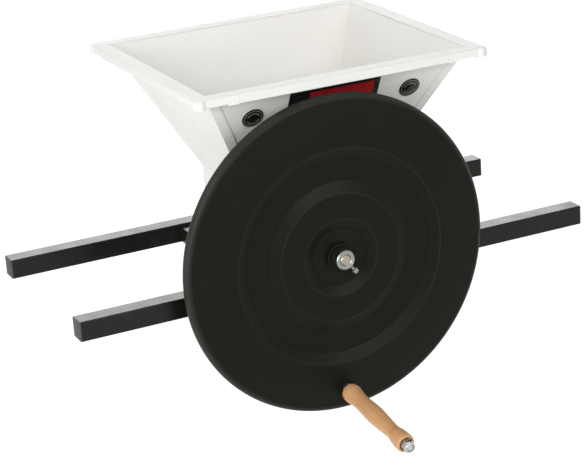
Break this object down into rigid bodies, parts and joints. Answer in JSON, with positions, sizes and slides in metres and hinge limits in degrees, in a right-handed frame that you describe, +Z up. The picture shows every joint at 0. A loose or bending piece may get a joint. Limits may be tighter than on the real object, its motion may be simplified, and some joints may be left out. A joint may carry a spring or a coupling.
{
  "type": "apple scratter",
  "caption": "Hand-cranked fruit mill: a tapered white hopper on two long black rails, with a toothed drum under its throat and a large black flywheel in front that carries a wooden crank grip.",
  "frame": {"origin": "midway between the two rails and the two cross tubes, on the plane of the rails' undersides, which rest across a tub", "axes": "+X along the rails, to the right seen from the flywheel's side; +Y away from the flywheel, along the shaft; +Z up"},
  "size_m": [0.8366, 0.6115, 0.506],
  "materials": {
    "hopper_paint": "white powder coat, semi-gloss",
    "rim_plastic": "white moulded plastic, soft gloss",
    "rail_paint": "black paint, satin",
    "plug_plastic": "black moulded plastic",
    "label_print": "printed plate, dark ground",
    "badge_plastic": "black dome, glossy",
    "zinc_steel": "bright zinc plate",
    "block_iron": "black painted casting",
    "bush_bronze": "sintered bronze, matt",
    "wall_bush_plastic": "white plastic",
    "plate_steel": "stainless sheet",
    "shaft_steel": "ground bar",
    "drum_aluminium": "machined casting",
    "wheel_paint": "black paint, satin",
    "grip_wood": "turned beech, thin varnish"
  },
  "bodies": {
    "frame": {"front_rail": "rail_paint", "back_rail": "rail_paint", "rail_end_plugs": "plug_plastic", "left_cross_tube": "rail_paint", "right_cross_tube": "rail_paint", "hopper_front_panel": "hopper_paint", "hopper_back_panel": "hopper_paint", "hopper_left_panel": "hopper_paint", "hopper_right_panel": "hopper_paint", "front_rim_profile": "rim_plastic", "back_rim_profile": "rim_plastic", "left_rim_profile": "rim_plastic", "right_rim_profile": "rim_plastic", "front_left_rim_corner": "rim_plastic", "front_right_rim_corner": "rim_plastic", "back_left_rim_corner": "rim_plastic", "back_right_rim_corner": "rim_plastic", "front_label": "label_print", "front_badges": "badge_plastic", "hopper_bolts": "zinc_steel", "hopper_nuts": "zinc_steel", "front_bearing_block": "block_iron", "back_bearing_block": "block_iron", "bearing_bolts": "zinc_steel", "bearing_nuts": "zinc_steel", "front_bush": "bush_bronze", "back_bush": "bush_bronze", "wall_bushes": "wall_bush_plastic", "breast_plate": "plate_steel", "breast_comb": "plate_steel", "deflector_plate": "plate_steel", "plate_bolts": "zinc_steel", "plate_nuts": "zinc_steel", "comb_bolts": "zinc_steel", "comb_nuts": "zinc_steel"},
    "rotor": {"shaft": "shaft_steel", "drum": "drum_aluminium", "knives": "plate_steel", "knife_screws": "zinc_steel", "drum_pins": "zinc_steel", "hub_key": "zinc_steel", "shaft_spacer": "zinc_steel", "flywheel_disc": "wheel_paint", "flywheel_hub": "wheel_paint", "hub_ring": "wheel_paint", "set_collar": "zinc_steel", "collar_screw": "zinc_steel", "rear_collar": "zinc_steel", "rear_collar_screw": "zinc_steel", "crank_bolt": "zinc_steel", "crank_nuts": "zinc_steel", "crank_washers": "zinc_steel", "crank_lock_nut": "zinc_steel"},
    "grip": {"grip": "grip_wood"}
  },
  "joints": [
    {"name": "flywheel_spin", "type": "hinge", "parent": "frame", "child": "rotor", "pos_m": [-0.032, 0, 0.06], "axis": [0, 1, 0], "continuous": true},
    {"name": "grip_spin", "type": "hinge", "parent": "rotor", "child": "grip", "pos_m": [-0.03309, -0.21636, -0.148], "axis": [-0.0005, -0.9945, -0.1045], "continuous": true}
  ]
}
